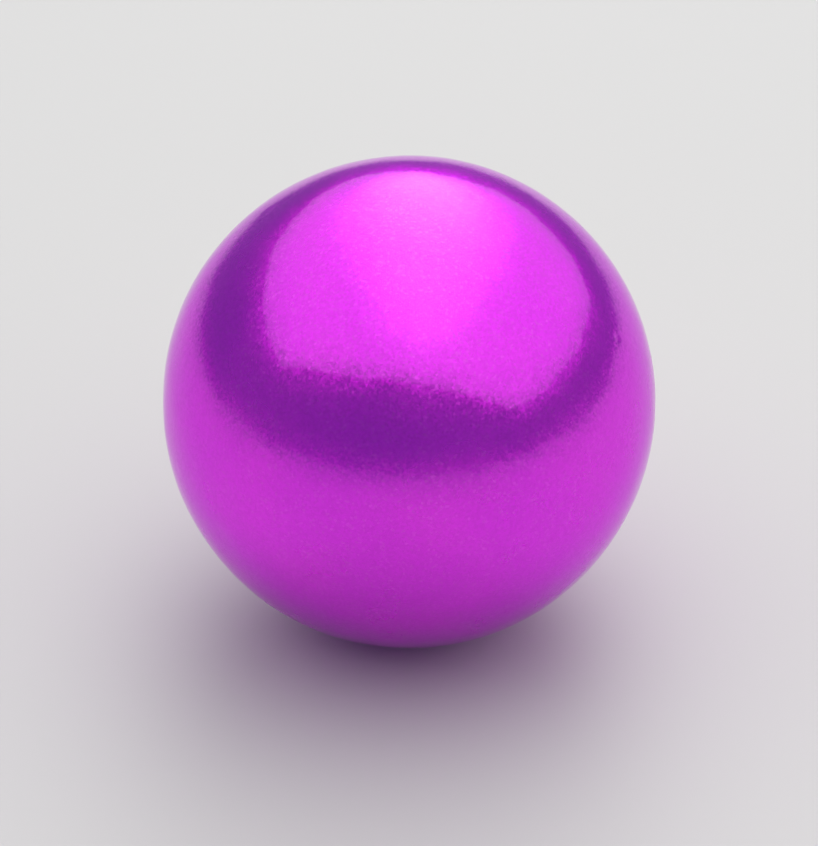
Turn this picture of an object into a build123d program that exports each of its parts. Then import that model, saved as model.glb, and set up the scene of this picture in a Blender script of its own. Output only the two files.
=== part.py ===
# A ball magnet: a sintered sphere, plated and lacquered all over, and magnetised straight through
# its centre.
# Millimetres, +Z up. The origin is the ball's centre, and +Z is the direction of magnetisation, with
# the north pole at the top and the south pole at the bottom. Nothing on the surface marks the poles.
from build123d import *
import os

# Diameter over the lacquer.
BALL_DIAMETER = 5.0


def ball_magnet() -> Part:
    """The whole magnet as one closed sphere: the plating and the lacquer are no separate pieces."""
    return Sphere(radius=BALL_DIAMETER / 2)


os.makedirs("parts", exist_ok=True)
export_step(ball_magnet(), "parts/ball_magnet.step")
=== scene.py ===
# A ball magnet in violet metallic lacquer, on a pale table under one large softbox.
# Metres, +Z up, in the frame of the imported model: the origin is the ball's centre.
import math
import random

import bmesh
import bpy
from mathutils import Euler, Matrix, Vector, kdtree, noise


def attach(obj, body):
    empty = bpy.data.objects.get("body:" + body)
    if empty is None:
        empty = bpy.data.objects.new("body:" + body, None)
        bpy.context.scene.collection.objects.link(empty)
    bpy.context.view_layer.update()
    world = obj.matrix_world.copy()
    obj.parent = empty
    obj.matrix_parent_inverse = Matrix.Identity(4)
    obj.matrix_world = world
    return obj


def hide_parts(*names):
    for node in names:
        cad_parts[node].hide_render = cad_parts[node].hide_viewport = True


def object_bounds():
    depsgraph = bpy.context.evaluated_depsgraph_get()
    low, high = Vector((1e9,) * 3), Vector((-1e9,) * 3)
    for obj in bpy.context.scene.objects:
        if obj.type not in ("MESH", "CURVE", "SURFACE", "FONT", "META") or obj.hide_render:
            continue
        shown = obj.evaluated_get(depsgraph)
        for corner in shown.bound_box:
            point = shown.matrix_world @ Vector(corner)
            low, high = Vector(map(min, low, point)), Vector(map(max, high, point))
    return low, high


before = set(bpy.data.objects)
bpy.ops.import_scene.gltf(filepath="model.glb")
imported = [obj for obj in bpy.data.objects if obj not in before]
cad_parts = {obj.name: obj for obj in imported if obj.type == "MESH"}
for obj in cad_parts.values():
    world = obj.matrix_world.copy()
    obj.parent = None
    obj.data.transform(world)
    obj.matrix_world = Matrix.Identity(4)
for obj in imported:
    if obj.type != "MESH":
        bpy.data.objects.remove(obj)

MM = 0.001
UM = 0.000001

cad_low, cad_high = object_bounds()
RADIUS = (cad_high.z - cad_low.z) / 2
FLOOR_Z = cad_low.z

# The ball's mesh is a cube of square cells, blown up to a sphere.
CELLS_PER_EDGE = 128

# The map that its colours are baked through has the cube's faces in three columns, one for each axis,
# and two rows, with a gap round each face as a share of the map.
MAP_NAME = "OFBake"
MAP_COLUMNS, MAP_ROWS = 3, 2
MAP_GAP = 0.003

# The lacquer's waviness: length and height of each kind of wave, and how far their patterns are apart.
WAVES = ((1.1 * MM, 5.0 * UM), (0.42 * MM, 2.8 * UM), (0.2 * MM, 0.9 * UM))
WAVE_SHIFT = Vector((3.7, 8.1, 5.3))

# Tiny pits and nibs under the lacquer, which levels them out. Each falls off from its middle, and is
# nothing beyond its reach, which is in its own radii.
BLEMISH_SEED = 11
PITS = 46
NIBS = 30
BLEMISH_RADIUS = (38 * UM, 85 * UM)
BLEMISH_FALL = 1.5
BLEMISH_REACH = 2.5
PIT_DEPTH = (1.0 * UM, 4.5 * UM)
NIB_HEIGHT = (0.5 * UM, 1.6 * UM)

# The lacquer's colour, which drifts between two tones, and its haze, which drifts too. Each noise has
# a length and a detail, and the middle of its range is spread over the whole drift.
TONES = ((0.80, 0.017, 0.915, 1), (0.845, 0.023, 0.925, 1))
TONE_NOISE = (1.3 * MM, 2.0)
ROUGHNESS = (0.235, 0.28)
ROUGHNESS_NOISE = (0.8 * MM, 4.0)
NOISE_RANGE = (0.3, 0.7)
EDGE_TINT = (0.82, 0.25, 0.9, 1)

# The clear coat over it, with a fine skin.
COAT_WEIGHT = 0.75
COAT_ROUGHNESS = 0.08
COAT_IOR = 1.5
SKIN_NOISE = (0.075 * MM, 3.0)
SKIN_HEIGHT = 0.5 * UM

# The pearl flakes in the lacquer: each has its own tilt and brightness, and the palest few stand out.
FLAKE_SIZE = 0.024 * MM
FLAKE_TILT = 0.055
FLAKE_CONTRAST = 0.12
FLAKE_MEAN = 0.98
PALE_FLAKE = (0.92, 0.14, 0.92, 1)
PALE_RANGE = (0.3, 0.5)
PALE_SHARE = 0.2

# The softbox, which is brightest round a long core, and falls off over the last part of each side.
BOX_HEIGHT = 150 * MM
BOX_LEFT, BOX_RIGHT = -226 * MM, 540 * MM
BOX_NEAR, BOX_FAR = -232 * MM, 530 * MM
BOX_TURN = math.radians(-17)
BOX_EDGE = 0.93
BOX_LIGHT = 0.985
CORE_LIGHT = 2.5
CORE_PLACE = Vector((22, 212, 0)) * MM
CORE_REACH = 117 * MM
CORE_STRETCH = 3.25

# The table, which fades into the room between two distances from the ball, and the room.
TABLE_RADIUS = 350 * MM
TABLE_SEGMENTS = 128
TABLE_COLOUR = (0.60, 0.595, 0.585)
TABLE_ROUGHNESS = 0.6
TABLE_SPECULAR = 0.3
TABLE_FADE = (12 * MM, 160 * MM)
ROOM_COLOUR = (0.22, 0.24, 0.33)

# The camera. The ball's width is a share of the frame's, and the aim is just under its centre.
FRAME_WIDTH, FRAME_HEIGHT = 818, 846
ELEVATION = math.radians(31)
LENS = 150.0
CLIP = (1 * MM, 10.0)
BALL_SHARE = 0.6
AIM = Vector((0, 0, -0.25 * MM))

# The colour sockets of a Mix node, which has more of the same names for other kinds of value.
MIX_FACTOR, MIX_A, MIX_B, MIX_RESULT = 0, 6, 7, 2


def noise_height(point):
    """The lacquer's waviness at a point, as a height."""
    return sum(
        height * noise.noise(point / length + WAVE_SHIFT * step)
        for step, (length, height) in enumerate(WAVES, 1)
    )


def on_sphere(rng):
    """A random direction, evenly spread."""
    z = rng.uniform(-1, 1)
    turn = rng.uniform(0, 2 * math.pi)
    ring = math.sqrt(1 - z * z)
    return Vector((ring * math.cos(turn), ring * math.sin(turn), z))


def map_cube(bm):
    """Lays the cube's faces side by side on the map, with none mirrored."""
    layer = bm.loops.layers.uv.new(MAP_NAME)
    width, height = 1 / MAP_COLUMNS, 1 / MAP_ROWS
    bm.normal_update()
    for face in bm.faces:
        axis = max(range(3), key=lambda k: abs(face.normal[k]))
        row = int(face.normal[axis] < 0)
        across, up = (axis + 1 + row) % 3, (axis + 2 - row) % 3
        for corner in face.loops:
            x, y = ((corner.vert.co[k] + 1) / 2 for k in (across, up))
            corner[layer].uv = (
                axis * width + MAP_GAP + x * (width - 2 * MAP_GAP),
                row * height + MAP_GAP + y * (height - 2 * MAP_GAP),
            )


def blown_up_cube():
    """A unit sphere of nearly even square cells."""
    bm = bmesh.new()
    bmesh.ops.create_cube(bm, size=2)
    bmesh.ops.subdivide_edges(bm, edges=bm.edges[:], cuts=CELLS_PER_EDGE - 1, use_grid_fill=True)
    map_cube(bm)
    for v in bm.verts:
        v.co = Vector(math.tan(c * math.pi / 4) for c in v.co).normalized()
    return bm


def added(name, bm):
    """Puts a finished mesh into the scene as an object."""
    mesh = bpy.data.meshes.new(name)
    bm.to_mesh(mesh)
    bm.free()
    thing = bpy.data.objects.new(name, mesh)
    bpy.context.scene.collection.objects.link(thing)
    return thing


def ball():
    """The lacquered ball, with its waviness and blemishes as real relief."""
    bm = blown_up_cube()
    bm.verts.ensure_lookup_table()
    directions = [v.co.copy() for v in bm.verts]
    heights = [noise_height(d * RADIUS) for d in directions]

    tree = kdtree.KDTree(len(directions))
    for i, d in enumerate(directions):
        tree.insert(d * RADIUS, i)
    tree.balance()
    rng = random.Random(BLEMISH_SEED)
    for k in range(PITS + NIBS):
        middle = on_sphere(rng) * RADIUS
        radius = rng.uniform(*BLEMISH_RADIUS)
        rise = -rng.uniform(*PIT_DEPTH) if k < PITS else rng.uniform(*NIB_HEIGHT)
        for _, i, distance in tree.find_range(middle, BLEMISH_REACH * radius):
            heights[i] += rise * math.exp(-((distance / radius) ** 2) * BLEMISH_FALL)

    # The highest point touches the true sphere, and the rest lies under it.
    top = max(heights)
    for v, d, h in zip(bm.verts, directions, heights):
        v.co = d * (RADIUS + h - top)
    for f in bm.faces:
        f.smooth = True
    return added("lacquered_ball", bm)


class Nodes:
    """Short forms for building a node tree."""

    def __init__(self, owner):
        owner.use_nodes = True
        self.tree = owner.node_tree
        self.tree.nodes.clear()

    def add(self, kind, inputs=None, **settings):
        node = self.tree.nodes.new(kind)
        for name, value in settings.items():
            setattr(node, name, value)
        for name, value in (inputs or {}).items():
            self.put(node.inputs[name], value)
        return node

    def put(self, socket, value):
        if isinstance(value, bpy.types.NodeSocket):
            self.tree.links.new(value, socket)
        else:
            socket.default_value = value

    def math(self, operation, *values):
        node = self.add("ShaderNodeMath", operation=operation)
        for socket, value in zip(node.inputs, values):
            self.put(socket, value)
        return node.outputs[0]

    def vector(self, operation, *values):
        node = self.add("ShaderNodeVectorMath", operation=operation)
        for socket, value in zip(node.inputs, values):
            self.put(socket, value)
        return node.outputs["Value" if operation == "LENGTH" else "Vector"]

    def scaled(self, vector, factor):
        node = self.add("ShaderNodeVectorMath", {"Scale": factor}, operation="SCALE")
        self.put(node.inputs[0], vector)
        return node.outputs["Vector"]

    def smooth(self, value, low, high, to_low=0.0, to_high=1.0):
        inputs = {
            "Value": value,
            "From Min": low,
            "From Max": high,
            "To Min": to_low,
            "To Max": to_high,
        }
        node = self.add("ShaderNodeMapRange", inputs, interpolation_type="SMOOTHSTEP")
        return node.outputs["Result"]

    def noise(self, point, length, detail):
        inputs = {"Vector": point, "Scale": 1 / length, "Detail": detail}
        return self.add("ShaderNodeTexNoise", inputs).outputs["Fac"]

    def mix(self, factor, a, b):
        node = self.add("ShaderNodeMix", data_type="RGBA")
        self.put(node.inputs[MIX_FACTOR], factor)
        self.put(node.inputs[MIX_A], a)
        self.put(node.inputs[MIX_B], b)
        return node.outputs[MIX_RESULT]

    def output(self, kind, shader):
        self.put(self.add(kind).inputs["Surface"], shader.outputs[0])


def lacquer():
    """Translucent violet lacquer with a fine pearl over bright plating, under a clear gloss."""
    material = bpy.data.materials.new("violet_lacquer")
    n = Nodes(material)
    point = n.add("ShaderNodeTexCoord").outputs["Object"]

    tone = n.smooth(n.noise(point, *TONE_NOISE), *NOISE_RANGE)
    colour = n.mix(tone, *TONES)
    flakes = n.add("ShaderNodeTexVoronoi", {"Vector": point, "Scale": 1 / FLAKE_SIZE})
    # Three random numbers for each flake, from -0.5 to 0.5.
    spread = n.vector("SUBTRACT", flakes.outputs["Color"], (0.5, 0.5, 0.5))
    sparkle = n.add("ShaderNodeSeparateXYZ", {"Vector": spread})
    pale = n.smooth(sparkle.outputs["X"], *PALE_RANGE, 0.0, PALE_SHARE)
    colour = n.mix(pale, colour, PALE_FLAKE)
    shine = n.math("MULTIPLY_ADD", sparkle.outputs["Y"], FLAKE_CONTRAST, FLAKE_MEAN)
    colour = n.scaled(colour, shine)

    grain = n.noise(point, *SKIN_NOISE)
    skin = n.add("ShaderNodeBump", {"Height": grain, "Distance": SKIN_HEIGHT}).outputs["Normal"]
    flake_normal = n.vector("NORMALIZE", n.vector("ADD", skin, n.scaled(spread, FLAKE_TILT)))
    haze = n.noise(point, *ROUGHNESS_NOISE)
    principled = n.add(
        "ShaderNodeBsdfPrincipled",
        {
            "Base Color": colour,
            "Metallic": 1.0,
            "Roughness": n.smooth(haze, *NOISE_RANGE, *ROUGHNESS),
            "Specular Tint": EDGE_TINT,
            "Normal": flake_normal,
            "Coat Weight": COAT_WEIGHT,
            "Coat Roughness": COAT_ROUGHNESS,
            "Coat IOR": COAT_IOR,
            "Coat Normal": skin,
        },
    )
    n.output("ShaderNodeOutputMaterial", principled)
    return material


def table():
    """A round pale table top, which fades into the dim room far from the ball."""
    bm = bmesh.new()
    bmesh.ops.create_circle(bm, cap_ends=True, segments=TABLE_SEGMENTS, radius=TABLE_RADIUS)
    top = added("table_top", bm)
    top.location.z = FLOOR_Z

    material = bpy.data.materials.new("pale_table")
    n = Nodes(material)
    point = n.add("ShaderNodeTexCoord").outputs["Object"]
    far = n.smooth(n.vector("LENGTH", point), *TABLE_FADE)
    surface = n.add(
        "ShaderNodeBsdfPrincipled",
        {
            "Base Color": (*TABLE_COLOUR, 1),
            "Roughness": TABLE_ROUGHNESS,
            "Specular IOR Level": TABLE_SPECULAR,
        },
    )
    faded = n.add("ShaderNodeMixShader", {"Fac": far})
    # Its two shader sockets have one name, so they go by number.
    n.put(faded.inputs[1], surface.outputs[0])
    n.put(faded.inputs[2], n.add("ShaderNodeBsdfTransparent").outputs[0])
    n.output("ShaderNodeOutputMaterial", faded)
    top.data.materials.append(material)


def softbox():
    """A large softbox overhead, brightest above and behind the ball."""
    half_x = (BOX_RIGHT - BOX_LEFT) / 2
    half_y = (BOX_FAR - BOX_NEAR) / 2
    bm = bmesh.new()
    bmesh.ops.create_grid(bm, x_segments=1, y_segments=1, size=1)
    bmesh.ops.scale(bm, verts=bm.verts, vec=(half_x, half_y, 1))
    box = added("softbox", bm)
    box.location = ((BOX_LEFT + BOX_RIGHT) / 2, (BOX_NEAR + BOX_FAR) / 2, BOX_HEIGHT)
    box.rotation_euler = Euler((0, 0, BOX_TURN))
    box.visible_camera = False

    material = bpy.data.materials.new("softbox_light")
    n = Nodes(material)
    point = n.add("ShaderNodeTexCoord").outputs["Object"]
    place = n.add("ShaderNodeSeparateXYZ", {"Vector": point})
    off_x = n.math("ABSOLUTE", place.outputs["X"])
    off_y = n.math("ABSOLUTE", place.outputs["Y"])
    edge_x = n.smooth(off_x, BOX_EDGE * half_x, half_x, 1.0, 0.0)
    edge_y = n.smooth(off_y, BOX_EDGE * half_y, half_y, 1.0, 0.0)
    around = n.vector("SUBTRACT", n.add("ShaderNodeNewGeometry").outputs["Position"], CORE_PLACE)
    off_core = n.vector("LENGTH", n.vector("MULTIPLY", around, (1.0, 1 / CORE_STRETCH, 0.0)))
    core = n.smooth(off_core, 0.0, CORE_REACH, CORE_LIGHT, 0.0)
    light = n.math("MULTIPLY", n.math("ADD", core, BOX_LIGHT), n.math("MULTIPLY", edge_x, edge_y))
    glow = n.add("ShaderNodeEmission", {"Color": (1, 1, 1, 1), "Strength": light})
    n.output("ShaderNodeOutputMaterial", glow)
    box.data.materials.append(material)


def room():
    """The dim room round the table."""
    world = bpy.data.worlds.new("room")
    bpy.context.scene.world = world
    n = Nodes(world)
    n.output("ShaderNodeOutputWorld", n.add("ShaderNodeBackground", {"Color": (*ROOM_COLOUR, 1)}))


def camera():
    """A long lens in front of the ball and above it."""
    lens = bpy.data.cameras.new("camera")
    lens.lens = LENS
    lens.clip_start, lens.clip_end = CLIP
    short_side = lens.sensor_width * FRAME_WIDTH / FRAME_HEIGHT
    distance = 2 * RADIUS / BALL_SHARE * LENS / short_side
    seen_from = Vector((0, -math.cos(ELEVATION), math.sin(ELEVATION)))
    stand = bpy.data.objects.new("camera", lens)
    stand.location = AIM + seen_from * distance
    stand.rotation_euler = seen_from.to_track_quat("Z", "Y").to_euler()
    bpy.context.scene.collection.objects.link(stand)
    bpy.context.scene.camera = stand


piece = ball()
piece.data.materials.append(lacquer())
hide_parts("ball_magnet")
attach(piece, "root")

table()
softbox()
room()
camera()
bpy.context.scene.view_settings.view_transform = "Standard"
